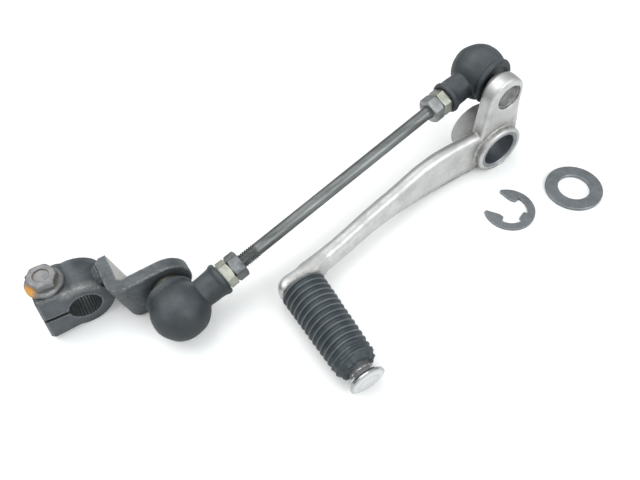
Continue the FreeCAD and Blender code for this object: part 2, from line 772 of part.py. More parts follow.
def pinch_bolt():
    """Flange-head bolt drawn down the ears: dished hexagon head, flange, shank."""
    body = new_body("pinch_bolt")
    seat = d.ear_half - 0.2
    flange = new_sketch(body, "XY_Plane", seat)
    add_circle(flange, (0, 0), d.bolt_flange_radius)
    extrude(body, "Pad", flange, d.bolt_flange_thick)
    rim = d.bolt_flange_radius.value
    ease(body, "Chamfer", 0.8, lambda e: is_circle(e, rim) and e.BoundBox.ZMin > seat.value + 1)
    head = new_sketch(body, "XY_Plane", seat)
    add_outline(head, hexagon(d.bolt_flats))
    extrude(body, "Pad", head, d.bolt_head_height)
    break_corners(body, "Z", d.bolt_flats, seat + d.bolt_head_height, 1)
    dish = new_sketch(body, "XY_Plane", seat + d.bolt_head_height - d.bolt_dish_depth)
    add_circle(dish, (0, 0), d.bolt_dish_radius)
    extrude(body, "Pocket", dish, 2, backward=True)
    shank = new_sketch(body, "XY_Plane", seat)
    add_circle(shank, (0, 0), d.bolt_radius)
    extrude(body, "Pad", shank, d.ear_half * 2 - 1.4, backward=True)
    tip = -(d.ear_half.value - 1.2)
    ease(body, "Chamfer", 0.5, lambda e: is_circle(e, d.bolt_radius.value) and e.BoundBox.ZMax < tip + 0.1)
    offset = FreeCAD.Vector(-d.bolt_offset.value, d.block_front.value + d.block_length.value / 2, 0)
    body.Placement = block_placement().multiply(FreeCAD.Placement(offset, FreeCAD.Rotation()))
    return body


def bracket_weld():
    """Two beads filling the corners between the round block and the flat plate, above and below."""
    body = new_body("bracket_weld")
    sketch = new_sketch(body, "XZ_Plane", -(d.block_front + 0.8))
    for way in (1, -1):
        add_outline(sketch, [
            leaned(d.block_radius - 4.4, way * 6.4),
            leaned(d.block_radius, way * 3.4),
            leaned(d.block_radius, way * 8.6),
            leaned(d.block_radius - 2.2, way * 9.2),
        ])
    extrude(body, "Pad", sketch, d.bracket_back - d.block_front - 0.8, backward=True)
    core = new_sketch(body, "XZ_Plane", -(d.block_front + 0.8))
    add_circle(core, (0, 0), d.block_radius)
    extrude(body, "Pocket", core, d.block_length * 2, both_ways=True)
    body.Placement = CLAMP
    return body


# ---------------------------------------------------------------- loose retaining parts
def floor_point(x, y):
    return FreeCAD.Vector(x.value, y.value, -d.boss_radius.value)


def pivot_washer():
    body = new_body("pivot_washer")
    sketch = new_sketch(body, "XY_Plane")
    add_circle(sketch, (0, 0), d.washer_radius)
    add_circle(sketch, (0, 0), d.washer_hole_radius)
    extrude(body, "Pad", sketch, d.washer_thick)
    rims = (d.washer_radius.value, d.washer_hole_radius.value)
    ease(body, "Chamfer", 0.2, lambda e: any(is_circle(e, r) for r in rims))
    body.Placement.Base = floor_point(d.washer_x, d.washer_y)
    return body


def pivot_e_ring():
    """Open retaining ring: one claw at the back, and two that run out into the tapered tips of the mouth."""
    body = new_body("pivot_e_ring")
    band = new_sketch(body, "XY_Plane")
    add_circle(band, (0, 0), d.ring_radius)
    add_circle(band, (0, 0), d.ring_radius - d.ring_band)
    extrude(body, "Pad", band, d.ring_thick)
    grip = d.ring_grip_radius
    root = d.ring_radius - d.ring_band / 2
    tip_x, tip_y = d.ring_radius * 0.70, d.ring_radius * 0.58
    claws = new_sketch(body, "XY_Plane")
    add_outline(claws, [(-root, 2.9), (-grip, 1.9), (-grip, -1.9), (-root, -2.9)])
    extrude(body, "Pad", claws, d.ring_thick)
    for way in (1, -1):
        claw = new_sketch(body, "XY_Plane")
        add_outline(claw, [
            (-0.9, root * way),
            (0, grip * 0.95 * way),
            (2.0, grip * 0.87 * way),
            (tip_x, tip_y * way),
            (tip_x * 0.8, root * 0.72 * way),
        ])
        extrude(body, "Pad", claw, d.ring_thick)
    mouth = new_sketch(body, "XY_Plane")
    lips = [(2.0, grip * 0.87), (tip_x, tip_y), (tip_x * 1.06, tip_y * 1.14), (16, tip_y * 1.14)]
    add_outline(mouth, lips + [(x, -y) for x, y in reversed(lips)])
    extrude(body, "Pocket", mouth, d.ring_thick * 2 + 1, both_ways=True)
    turned = FreeCAD.Rotation(FreeCAD.Vector(0, 0, 1), d.ring_open_deg.value)
    body.Placement = FreeCAD.Placement(floor_point(d.ring_x, d.ring_y), turned)
    return body


# ---------------------------------------------------------------- build
parts = [
    shift_lever(),
    pivot_bush(),
    toe_peg(),
    toe_rubber(),
    ball_stud("upper_ball_stud", d.plate_thick, d.recess_depth, UPPER_STUD),
    ball_seat("upper_ball_seat", UPPER_STUD),
    rod_end("upper_rod_end", UPPER_JOINT),
    seat_cap("upper_seat_cap", UPPER_JOINT),
    dust_boot("upper_dust_boot", UPPER_JOINT),
    lock_nut("upper_lock_nut", UPPER_JOINT),
    link_rod(),
    lock_nut("lower_lock_nut", LOWER_JOINT),
    rod_end("lower_rod_end", LOWER_JOINT),
    seat_cap("lower_seat_cap", LOWER_JOINT),
    dust_boot("lower_dust_boot", LOWER_JOINT),
    ball_seat("lower_ball_seat", LOWER_STUD),
    ball_stud("lower_ball_stud", d.bracket_thick, 0, LOWER_STUD),
    clamp_bracket(),
    clamp_block(),
    bracket_weld(),
    pinch_bolt(),
    pivot_washer(),
    pivot_e_ring(),
]
doc.recompute()

for thing in doc.Objects:
    if "Invalid" in thing.State or "Error" in thing.State:
        raise RuntimeError(f"{thing.Name} did not build: {thing.State}")

os.makedirs("parts", exist_ok=True)
for part in parts:
    if part.Shape.isNull() or not part.Shape.isValid():
        raise RuntimeError(f"{part.Label} has no valid shape")
    part.Shape.exportStep(f"parts/{part.Label}.step")
    size = part.Shape.BoundBox
    print(f"{part.Label:16s} {part.Shape.Volume:9.1f} mm3  solids {len(part.Shape.Solids)}  "
          f"size {size.XLength:.1f} x {size.YLength:.1f} x {size.ZLength:.1f} mm")
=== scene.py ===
import json
import math

import bmesh
import bpy
from mathutils import Matrix, Vector, noise


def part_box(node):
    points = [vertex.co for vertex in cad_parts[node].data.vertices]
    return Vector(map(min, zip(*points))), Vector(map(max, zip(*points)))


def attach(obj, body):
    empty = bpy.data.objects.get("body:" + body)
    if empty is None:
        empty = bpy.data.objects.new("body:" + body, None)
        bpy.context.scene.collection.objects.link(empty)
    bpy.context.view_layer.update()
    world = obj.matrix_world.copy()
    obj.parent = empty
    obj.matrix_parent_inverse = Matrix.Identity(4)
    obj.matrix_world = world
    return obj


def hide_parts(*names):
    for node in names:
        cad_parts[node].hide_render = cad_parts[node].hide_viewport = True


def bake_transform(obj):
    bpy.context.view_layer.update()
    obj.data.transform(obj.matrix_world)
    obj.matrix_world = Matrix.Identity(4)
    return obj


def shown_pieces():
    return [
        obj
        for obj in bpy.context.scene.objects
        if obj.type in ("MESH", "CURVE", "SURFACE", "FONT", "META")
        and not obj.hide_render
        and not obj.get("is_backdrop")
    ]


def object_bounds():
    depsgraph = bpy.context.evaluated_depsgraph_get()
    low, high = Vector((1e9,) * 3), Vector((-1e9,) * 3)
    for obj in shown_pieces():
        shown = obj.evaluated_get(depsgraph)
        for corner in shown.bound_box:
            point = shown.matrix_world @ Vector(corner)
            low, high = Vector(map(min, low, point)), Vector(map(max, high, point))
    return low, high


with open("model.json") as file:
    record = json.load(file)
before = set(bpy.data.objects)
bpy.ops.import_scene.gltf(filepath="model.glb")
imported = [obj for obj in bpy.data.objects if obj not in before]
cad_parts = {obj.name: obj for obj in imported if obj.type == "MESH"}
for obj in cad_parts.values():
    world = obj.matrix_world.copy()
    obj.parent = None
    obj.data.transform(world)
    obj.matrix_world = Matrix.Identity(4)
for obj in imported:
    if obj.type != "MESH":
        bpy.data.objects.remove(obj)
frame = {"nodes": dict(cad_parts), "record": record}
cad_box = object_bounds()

# Metres, in the row frame: origin at the pivot bore, outboard -Y, toe peg forward at -X, +Z up.
MM = 0.001

joints = {j["name"]: j for j in frame["record"]["behaviour"]["joints"]}
mounts = {m["name"]: m for m in frame["record"]["mounts"]}


# ---------------------------------------------------------------- frames
def joint_frame(ball, along, plate_way):
    """Matrix with its origin at a ball, local X along the rod and local Z towards the stud's plate."""
    x_axis = Vector(along).normalized()
    z_axis = (Vector(plate_way) - x_axis * Vector(plate_way).dot(x_axis)).normalized()
    y_axis = z_axis.cross(x_axis)
    turned = Matrix((x_axis, y_axis, z_axis)).transposed().to_4x4()
    return Matrix.Translation(Vector(ball)) @ turned


rod_way = Vector(joints["rod_turn"]["axis"])
upper_ball = Vector(joints["upper_swivel"]["pos_m"])
lower_ball = Vector(joints["lower_swivel"]["pos_m"])
UPPER = joint_frame(upper_ball, rod_way, (0, -1, 0))
LOWER = joint_frame(lower_ball, -rod_way, (0, 1, 0))
ROD_LENGTH = (upper_ball - lower_ball).length

peg_low, peg_high = (Vector(corner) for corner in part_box("toe_rubber"))
PEG_X = (peg_low.x + peg_high.x) / 2
PEG_Z = (peg_low.z + peg_high.z) / 2
PEG_RADIUS = 4.5 * MM
PEG_FLARE = 7.1 * MM


# ---------------------------------------------------------------- mesh helpers
def mesh_object(name, vertices, faces):
    """A smooth-shaded object, linked into the scene."""
    mesh = bpy.data.meshes.new(name)
    mesh.from_pydata([tuple(v) for v in vertices], [], faces)
    mesh.validate()
    mesh.shade_smooth()
    obj = bpy.data.objects.new(name, mesh)
    bpy.context.scene.collection.objects.link(obj)
    return obj


def place(obj, matrix):
    obj.data.transform(matrix)
    return obj


def around_circle(count):
    return [2 * math.pi * k / count for k in range(count)]


def tube(name, rings, closed=True):
    """A skin over rings with the same number of points each; closed puts a face on both ends."""
    around = len(rings[0])
    vertices = [point for ring in rings for point in ring]
    last = len(vertices) - around
    faces = []
    for start in range(0, last, around):
        for k in range(around):
            a, b = start + k, start + (k + 1) % around
            faces.append((a, b, b + around, a + around))
    if closed:
        faces.append(tuple(reversed(range(around))))
        faces.append(tuple(range(last, last + around)))
    return mesh_object(name, vertices, faces)


def lathe(name, places, around, radius_at, closed=True):
    """Surface about local X with a ring at each place; radius_at(x, angle) gives a point's distance out."""
    rings = []
    for x in places:
        radii = [(radius_at(x, angle), angle) for angle in around_circle(around)]
        rings.append([(x, r * math.cos(angle), r * math.sin(angle)) for r, angle in radii])
    return tube(name, rings, closed)


def profile_solid(name, profile, around=72):
    """Surface of revolution about local Z through (radius, z) points, closed at both ends."""
    angles = around_circle(around)
    return tube(name, [[(r * math.cos(v), r * math.sin(v), z) for v in angles] for r, z in profile])


def recalculate_normals(obj):
    mesh = bmesh.new()
    mesh.from_mesh(obj.data)
    bmesh.ops.recalc_face_normals(mesh, faces=mesh.faces)
    mesh.to_mesh(obj.data)
    mesh.free()


def spaced(start, end, count):
    return [start + (end - start) * i / (count - 1) for i in range(count)]


def apply_modifiers(obj):
    depsgraph = bpy.context.evaluated_depsgraph_get()
    done = bpy.data.meshes.new_from_object(obj.evaluated_get(depsgraph))
    obj.modifiers.clear()
    obj.data = done


def remesh(obj, voxel):
    skin = obj.modifiers.new("skin", "REMESH")
    skin.mode = "VOXEL"
    skin.voxel_size = voxel


def relax(obj, passes, group=""):
    smoothing = obj.modifiers.new("relax", "SMOOTH")
    smoothing.factor = 0.5
    smoothing.iterations = passes
    smoothing.vertex_group = group


def swell(obj, amount_at):
    """Moves each point along its normal by amount_at(point); every normal is read before a point moves."""
    normals = [vertex.normal.copy() for vertex in obj.data.vertices]
    for vertex, normal in zip(obj.data.vertices, normals):
        point = vertex.co.copy()
        vertex.co = point + normal * amount_at(point)


def join_meshes(name, objects):
    """One object from several, with their meshes in one frame."""
    whole = bmesh.new()
    for obj in objects:
        whole.from_mesh(obj.data)
        bpy.data.objects.remove(obj)
    mesh = bpy.data.meshes.new(name)
    whole.to_mesh(mesh)
    whole.free()
    obj = bpy.data.objects.new(name, mesh)
    bpy.context.scene.collection.objects.link(obj)
    return obj


# ---------------------------------------------------------------- shader helpers
class Graph:
    """Short names for building one material's nodes."""

    def __init__(self, name, metallic, roughness, colour):
        self.material = bpy.data.materials.new(name)
        self.material.use_nodes = True
        self.tree = self.material.node_tree
        self.shader = self.tree.nodes["Principled BSDF"]
        self.shader.inputs["Metallic"].default_value = metallic
        self.shader.inputs["Roughness"].default_value = roughness
        self.shader.inputs["Base Color"].default_value = (*colour, 1)
        self.where = self.add("ShaderNodeTexCoord").outputs["Object"]

    def add(self, kind, **settings):
        node = self.tree.nodes.new(kind)
        for key, value in settings.items():
            setattr(node, key, value)
        return node

    def link(self, source, target):
        if isinstance(source, (int, float)):
            target.default_value = source
        elif isinstance(source, tuple):
            target.default_value = (*source, 1) if len(source) == 3 else source
        else:
            self.tree.links.new(source, target)

    def into(self, source, name):
        self.link(source, self.shader.inputs[name])

    def stretched(self, scale, turn=(0, 0, 0)):
        node = self.add("ShaderNodeMapping")
        node.inputs["Scale"].default_value = scale
        node.inputs["Rotation"].default_value = turn
        self.link(self.where, node.inputs["Vector"])
        return node.outputs["Vector"]

    def noise(self, scale, detail=6.0, rough=0.6, where=None, distort=0.0):
        node = self.add("ShaderNodeTexNoise")
        node.inputs["Scale"].default_value = scale
        node.inputs["Detail"].default_value = detail
        node.inputs["Roughness"].default_value = rough
        node.inputs["Distortion"].default_value = distort
        self.link(where or self.where, node.inputs["Vector"])
        return node.outputs["Fac"]

    def cells(self, scale):
        node = self.add("ShaderNodeTexVoronoi", feature="F1")
        node.inputs["Scale"].default_value = scale
        self.link(self.where, node.inputs["Vector"])
        return node.outputs["Distance"]

    def ramp(self, source, *stops):
        """Piecewise colours or values: stops are (position, value or colour)."""
        node = self.add("ShaderNodeValToRGB")
        band = node.color_ramp
        while len(band.elements) < len(stops):
            band.elements.new(0.5)
        for element, (position, value) in zip(band.elements, stops):
            element.position = position
            element.color = (*value, 1) if isinstance(value, tuple) else (value, value, value, 1)
        self.link(source, node.inputs["Fac"])
        return node.outputs["Color"]

    def mix(self, factor, a, b):
        node = self.add("ShaderNodeMix", data_type="RGBA", blend_type="MIX")
        self.link(factor, node.inputs["Factor"])
        colours = [s for s in node.inputs if s.type == "RGBA"]
        self.link(a, colours[0])
        self.link(b, colours[1])
        return next(s for s in node.outputs if s.type == "RGBA")

    def math(self, operation, a, b=0.0):
        node = self.add("ShaderNodeMath", operation=operation, use_clamp=operation in ("ADD", "MULTIPLY"))
        self.link(a, node.inputs[0])
        self.link(b, node.inputs[1])
        return node.outputs["Value"]

    def edges(self, radius):
        """1 on corners that stick out and would be rubbed bare, 0 on flats."""
        bevel = self.add("ShaderNodeBevel", samples=6)
        bevel.inputs["Radius"].default_value = radius
        flat = self.add("ShaderNodeNewGeometry").outputs["Normal"]
        dot = self.add("ShaderNodeVectorMath", operation="DOT_PRODUCT")
        self.link(bevel.outputs["Normal"], dot.inputs[0])
        self.link(flat, dot.inputs[1])
        return self.ramp(dot.outputs["Value"], (0.90, 1.0), (0.995, 0.0))

    def hollows(self, distance, deep=0.35, shallow=0.85):
        """1 in corners and crevices that nearby surfaces shade, for painted shade there and for grime and
        rust.
        """
        node = self.add("ShaderNodeAmbientOcclusion", samples=6)
        node.inputs["Distance"].default_value = distance
        return self.ramp(node.outputs["AO"], (deep, 1.0), (shallow, 0.0))

    def near(self, place_at, reach):
        """1 at a place, falling to 0 at the reach."""
        node = self.add("ShaderNodeVectorMath", operation="DISTANCE")
        self.link(self.where, node.inputs[0])
        node.inputs[1].default_value = place_at
        return self.ramp(self.math("DIVIDE", node.outputs["Value"], reach), (0.0, 1.0), (1.0, 0.0))

    def relief(self, *layers, rounding=0.0):
        """Bump from (height, strength, distance) layers, over edges rounded by the given radius."""
        normal = None
        if rounding:
            bevel = self.add("ShaderNodeBevel", samples=6)
            bevel.inputs["Radius"].default_value = rounding
            normal = bevel.outputs["Normal"]
        for height, strength, distance in layers:
            bump = self.add("ShaderNodeBump")
            bump.inputs["Strength"].default_value = strength
            bump.inputs["Distance"].default_value = distance
            self.link(height, bump.inputs["Height"])
            if normal is not None:
                self.link(normal, bump.inputs["Normal"])
            normal = bump.outputs["Normal"]
        self.into(normal, "Normal")


# ---------------------------------------------------------------- materials
def aluminium(name, base, shine, cast_grain):
    """Hand-polished casting: soft brushing, small dings, dull oxide blotches, and grime mixed with painted
    shade in the corners.
    """
    g = Graph(name, 1.0, shine, base)
    blotch = g.noise(90, 5, 0.62)
    brushing = g.noise(1, 3, 0.6, g.stretched((260, 1500, 1500), (0, 0, 0.21)))
    fine = g.noise(2600, 3, 0.6)
    skin = g.noise(900, 5, 0.7)
    pits = g.ramp(g.cells(1050), (0.02, 1.0), (0.10, 0.0))
    pit_places = g.ramp(g.noise(160, 3), (0.52, 0.0), (0.62, 1.0))
    pits = g.math("MULTIPLY", pits, pit_places)
    place_at = g.add("ShaderNodeSeparateXYZ")
    g.link(g.where, place_at.inputs["Vector"])
    unpolished = g.ramp(g.math("DIVIDE", place_at.outputs["Y"], 10 * MM), (0.02, 0.0), (0.22, 1.0))
    # Corners that nearby surfaces shade are darkened below with a grimy brown: grime mixed with painted
    # shade.
    corners = g.hollows(7 * MM, 0.52, 0.96)
    mottle = g.ramp(g.noise(330, 6, 0.7), (0.50, 0.0), (0.70, 0.36))
    grime_and_corner_shade = g.math("MULTIPLY", corners, g.ramp(g.noise(420, 6, 0.7), (0.35, 0.3), (0.6, 1.0)))
    dull = g.math("MAXIMUM", g.ramp(blotch, (0.45, 0.0), (0.70, 1.0)), unpolished)
    colour = g.mix(dull, base, tuple(c * 0.82 for c in base))
    colour = g.mix(mottle, colour, tuple(c * 0.52 for c in base))
    colour = g.mix(g.math("MULTIPLY", unpolished, g.ramp(skin, (0.45, 0.0), (0.62, 0.7))), colour,
                   tuple(c * 0.74 for c in base))
    # Painted shade and grime in the corners.
    colour = g.mix(grime_and_corner_shade, colour, (0.16, 0.145, 0.125))
    colour = g.mix(g.math("MULTIPLY", pits, 0.5), colour, (0.30, 0.29, 0.28))
    g.into(colour, "Base Color")
    g.into(g.math("SUBTRACT", 1.0, g.math("MULTIPLY", unpolished, 0.6)), "Metallic")
    rough = g.math("ADD", g.math("MULTIPLY", dull, 0.16), shine)
    rough = g.math("ADD", rough, g.math("MULTIPLY", grime_and_corner_shade, 0.3))
    g.into(rough, "Roughness")
    g.relief((brushing, 0.06, 0.1 * MM), (fine, cast_grain, 0.12 * MM), (blotch, 0.15, 0.6 * MM),
             (g.math("MULTIPLY", skin, unpolished), 0.45, 0.25 * MM),
             (g.math("SUBTRACT", 1.0, pits), 0.3, 0.1 * MM), rounding=0.3 * MM)
    return g.material


def bare_steel(name, base, shine, stain, stain_amount, streak=(1, 1, 1), crevice=1.5 * MM):
    """Plain or thinly plated steel with stains, fine handling scratches and painted shade in crevices."""
    g = Graph(name, 1.0, shine, base)
    cloud = g.noise(240, 6, 0.65, g.stretched(streak))
    grain = g.noise(1, 4, 0.65, g.stretched(tuple(2400 * s for s in streak)))
    edge = g.edges(0.3 * MM)
    colour = g.mix(g.math("MULTIPLY", g.ramp(cloud, (0.38, 0.0), (0.66, 1.0)), stain_amount), base, stain)
    colour = g.mix(g.math("MULTIPLY", edge, 0.45), colour, tuple(min(1.0, c * 1.5) for c in base))
    # Crevices are darkened: painted shade.
    colour = g.mix(g.math("MULTIPLY", g.hollows(crevice), 0.5), colour, tuple(c * 0.3 for c in base))
    g.into(colour, "Base Color")
    g.into(g.math("ADD", g.math("MULTIPLY", cloud, 0.25), shine - 0.1), "Roughness")
    g.relief((grain, 0.12, 0.12 * MM), (cloud, 0.1, 0.3 * MM), rounding=0.15 * MM)
    return g.material


def rubber(name, base, dust_and_sheen_amount, crest_wear_and_highlight_amount=0.0):
    """Aged black rubber: fine pores, faint mould lines, grey dust with a painted sheen on up-facing parts,
    and pale wear with a painted highlight on rib crests.
    """
    g = Graph(name, 0.0, 0.5, base)
    cloud = g.noise(130, 5, 0.6)
    pores = g.noise(2300, 4, 0.7)
    scuff = g.noise(1, 5, 0.7, g.stretched((500, 2100, 1100), (0.3, 0.2, 0.5)))
    # Faces turned up are lightened grey where the noise allows: dust, and a painted sheen of the light from
    # above.
    up = g.add("ShaderNodeSeparateXYZ")
    g.link(g.add("ShaderNodeNewGeometry").outputs["Normal"], up.inputs["Vector"])
    lit = g.ramp(up.outputs["Z"], (0.1, 0.0), (0.95, 1.0))
    dust = g.math("MULTIPLY", lit, g.ramp(cloud, (0.35, 0.4), (0.7, 1.0)))
    dust = g.math("MULTIPLY", dust, dust_and_sheen_amount)
    colour = g.mix(dust, base, (0.13, 0.145, 0.155))
    colour = g.mix(g.ramp(scuff, (0.66, 0.0), (0.78, 0.35)), colour, (0.18, 0.19, 0.2))
    # Rib crests are lightened: rubbed wear, and a painted highlight along each crest.
    if crest_wear_and_highlight_amount:
        crest = g.add("ShaderNodeAttribute", attribute_name="crest").outputs["Fac"]
        worn = g.math("MULTIPLY", crest, g.ramp(cloud, (0.3, 0.55), (0.6, 1.0)))
        colour = g.mix(g.math("MULTIPLY", worn, crest_wear_and_highlight_amount), colour, (0.17, 0.19, 0.20))
    g.into(colour, "Base Color")
    g.into(g.math("ADD", g.math("MULTIPLY", cloud, 0.22), 0.38), "Roughness")
    g.into(0.4, "Specular IOR Level")
    g.relief((pores, 0.10, 0.1 * MM), (scuff, 0.08, 0.1 * MM), (cloud, 0.10, 0.5 * MM))
    return g.material


def worn_black(name, bare_way=None, bare_behind=0.0, extra_wear=0.0, worn_places=()):
    """Black coating rubbed through to grey metal on corners, with chips, oily patches, dust and painted shade
    in crevices.

    Faces turned towards bare_way and lying behind the given Y are scraped back to bright metal.
    Each worn place is a point and a reach within which the coating has been rubbed pale.
    """
    base = (0.042, 0.05, 0.055)
    g = Graph(name, 0.25, 0.45, base)
    cloud = g.noise(150, 6, 0.65)
    chips = g.noise(700, 7, 0.75, distort=0.6)
    scratches = g.noise(1, 5, 0.75, g.stretched((350, 2600, 900), (0.4, 0.1, 0.7)))
    edge = g.edges(1.0 * MM)
    crevice = g.hollows(5 * MM)
    rubbed = g.math("MULTIPLY", edge, g.ramp(chips, (0.42, 0.15), (0.56, 1.0)))
    rubbed = g.math("MULTIPLY", rubbed, g.math("SUBTRACT", 1.0, crevice))
    chipped = g.ramp(chips, (0.66, 0.0), (0.70, 0.85))
    scraped = g.math("MULTIPLY", g.ramp(scratches, (0.60, 0.0), (0.70, 0.7)),
                     g.ramp(cloud, (0.45, 0.0), (0.6, 1.0)))
    bare = g.math("ADD", rubbed, g.math("ADD", chipped, scraped))
    bare = g.math("ADD", bare, g.ramp(chips, (0.45, 0.0), (0.60, extra_wear)))
    for centre, reach in worn_places:
        thin = g.math("MULTIPLY", g.ramp(g.near(centre, reach), (0.0, 0.0), (0.6, 1.0)),
                      g.ramp(chips, (0.40, 0.15), (0.60, 0.75)))
        bare = g.math("MAXIMUM", bare, thin)
    colour = g.mix(g.ramp(cloud, (0.3, 0.0), (0.7, 1.0)), base, (0.092, 0.106, 0.116))
    colour = g.mix(bare, colour, (0.30, 0.305, 0.30))
    if bare_way is not None:
        facing = g.add("ShaderNodeVectorMath", operation="DOT_PRODUCT")
        g.link(g.add("ShaderNodeNewGeometry").outputs["Normal"], facing.inputs[0])
        facing.inputs[1].default_value = bare_way
        place_at = g.add("ShaderNodeSeparateXYZ")
        g.link(g.where, place_at.inputs["Vector"])
        behind = g.math("GREATER_THAN", place_at.outputs["Y"], bare_behind)
        ground = g.math("MULTIPLY", g.ramp(facing.outputs["Value"], (0.86, 0.0), (0.95, 0.9)), behind)
        ground = g.math("MULTIPLY", ground, g.ramp(chips, (0.36, 0.55), (0.5, 1.0)))
        colour = g.mix(ground, colour, (0.50, 0.50, 0.485))
        bare = g.math("MAXIMUM", bare, ground)
    # Crevices and the bore are painted near-black: painted shade.
    colour = g.mix(g.math("MULTIPLY", crevice, 0.8), colour, (0.026, 0.026, 0.026))
    g.into(colour, "Base Color")
    open_part = g.math("SUBTRACT", 1.0, crevice)
    g.into(g.math("MULTIPLY", g.math("ADD", g.math("MULTIPLY", bare, 0.6), 0.2), open_part), "Metallic")
    g.into(g.math("MULTIPLY", open_part, 0.5), "Specular IOR Level")
    rough = g.math("ADD", g.math("MULTIPLY", cloud, 0.3), 0.33)
    g.into(g.math("ADD", rough, g.math("MULTIPLY", crevice, 0.3)), "Roughness")
    g.relief((chips, 0.22, 0.25 * MM), (scratches, 0.12, 0.15 * MM), (bare, 0.15, 0.12 * MM),
             rounding=0.35 * MM)
    return g.material


def turned_peg(name):
    """Bright turned steel: bands round the peg's axis of painted reflection and shade, darkest at the rim,
    and fine scratches.
    """
    g = Graph(name, 1.0, 0.17, (0.66, 0.66, 0.655))
    place_at = g.add("ShaderNodeSeparateXYZ")
    g.link(g.where, place_at.inputs["Vector"])
    across = g.math("SUBTRACT", place_at.outputs["X"], PEG_X)
    above = g.math("SUBTRACT", place_at.outputs["Z"], PEG_Z)
    out = g.math("SQRT", g.math("ADD", g.math("MULTIPLY", across, across), g.math("MULTIPLY", above, above)))
    cloud = g.noise(260, 5, 0.65)
    # Light and dark bands by distance from the axis, darkest at the rim: painted reflection and shade of the
    # domed end and the flare.
    wander = g.math("ADD", g.math("DIVIDE", out, PEG_FLARE), g.math("MULTIPLY", cloud, 0.12))
    rings = g.ramp(wander, (0.0, 0.95), (0.50, 1.0), (0.66, 0.72), (0.76, 1.0), (0.90, 0.88), (1.02, 0.42))
    scratches = g.noise(1, 4, 0.7, g.stretched((1900, 300, 900), (0.2, 0.5, 0.1)))
    colour = g.mix(rings, (0.20, 0.21, 0.225), (0.68, 0.68, 0.675))
    colour = g.mix(g.ramp(scratches, (0.56, 0.0), (0.68, 0.35)), colour, (0.36, 0.36, 0.37))
    g.into(colour, "Base Color")
    g.into(g.math("ADD", g.math("MULTIPLY", cloud, 0.16), 0.10), "Roughness")
    g.into(0.85, "Metallic")
    g.relief((scratches, 0.08, 0.1 * MM), (rings, 0.15, 0.15 * MM), rounding=0.3 * MM)
    return g.material


def rusty_bolt(name, rust_at, rust_reach):
    """Grey plated bolt with one orange rust bloom, darker stain round it and painted shade in crevices."""
    base = (0.30, 0.305, 0.31)
    g = Graph(name, 0.9, 0.58, base)
    grain = g.noise(1500, 5, 0.7)
    cloud = g.noise(330, 6, 0.7)
    near = g.near(rust_at, rust_reach)
    crevice = g.hollows(1.5 * MM)
    rust = g.ramp(g.math("MULTIPLY", near, g.math("ADD", cloud, 0.25)), (0.16, 0.0), (0.46, 1.0))
    freckles = g.ramp(g.noise(600, 5, 0.7), (0.60, 0.0), (0.70, 0.45))
    seam = g.math("MULTIPLY", crevice, g.ramp(g.noise(300, 4, 0.7), (0.45, 0.0), (0.58, 0.8)))
    rust = g.math("ADD", g.math("ADD", rust, freckles), seam)
    colour = g.mix(g.ramp(cloud, (0.38, 0.0), (0.62, 1.0)), base, (0.20, 0.20, 0.205))
    # Crevices are darkened: painted shade.
    colour = g.mix(g.math("MULTIPLY", crevice, 0.7), colour, (0.06, 0.05, 0.045))
    core = g.ramp(g.math("MULTIPLY", near, g.math("ADD", cloud, 0.5)), (0.42, 0.0), (0.62, 1.0))
    orange = g.mix(cloud, (0.40, 0.29, 0.17), (0.27, 0.20, 0.13))
    orange = g.mix(core, orange, (0.60, 0.30, 0.07))
    g.into(g.mix(rust, colour, orange), "Base Color")
    g.into(g.math("SUBTRACT", 0.9, g.math("MULTIPLY", rust, 0.85)), "Metallic")
    g.into(g.math("ADD", g.math("MULTIPLY", rust, 0.3), 0.56), "Roughness")
    g.relief((grain, 0.15, 0.12 * MM), (cloud, 0.25, 0.3 * MM), rounding=0.3 * MM)
    return g.material


def seat_plastic(name):
    g = Graph(name, 0.0, 0.45, (0.82, 0.80, 0.72))
    cloud = g.noise(400, 4)
    g.into(g.mix(cloud, (0.86, 0.84, 0.77), (0.72, 0.69, 0.58)), "Base Color")
    g.into(g.math("ADD", g.math("MULTIPLY", cloud, 0.2), 0.35), "Roughness")
    g.relief((g.noise(1800, 4), 0.1, 0.1 * MM))
    return g.material


LEG_LEAN = math.radians(9.0)
LEG_INNER_WAY = (math.cos(LEG_LEAN), 0.0, math.sin(LEG_LEAN))
LEG_SCRAPED_BEHIND = 12.4 * MM
BLOCK_RADIUS = 11.5 * MM
RUB_REACH = 3.4 * MM
RUST_REACH = 6.0 * MM


def block_rim(degrees):
    """A point on the clamp block's front rim, at an angle up from +X."""
    shaft = Vector(mounts["shift_shaft_clamp"]["pos_m"])
    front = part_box("clamp_block")[0][1]
    angle = math.radians(degrees)
    return Vector((shaft.x + BLOCK_RADIUS * math.cos(angle), front, shaft.z + BLOCK_RADIUS * math.sin(angle)))


CAST = aluminium("cast_aluminium_worn", (0.64, 0.64, 0.63), 0.43, 0.12)
PEG = turned_peg("toe_peg_bright")
BUSH = bare_steel("bush_steel", (0.34, 0.36, 0.385), 0.42, (0.20, 0.215, 0.235), 0.7)
ZINC = bare_steel("zinc_pale", (0.50, 0.51, 0.45), 0.42, (0.30, 0.305, 0.25), 0.7)
STUD_ZINC = bare_steel("zinc_yellow_pale", (0.60, 0.59, 0.47), 0.38, (0.40, 0.39, 0.30), 0.6)
STEEL = bare_steel("plain_steel_dull", (0.27, 0.29, 0.305), 0.44, (0.16, 0.17, 0.18), 0.6)
ROD = bare_steel("rod_steel_oiled", (0.21, 0.222, 0.22), 0.45, (0.075, 0.08, 0.077), 0.75,
                 (0.12, 1, 1), 0.4 * MM)
NUT = bare_steel("nut_steel_dark", (0.24, 0.25, 0.255), 0.46, (0.075, 0.08, 0.08), 0.8)
PALE_NUT = bare_steel("nut_steel_pale", (0.38, 0.395, 0.40), 0.50, (0.13, 0.135, 0.13), 0.8)
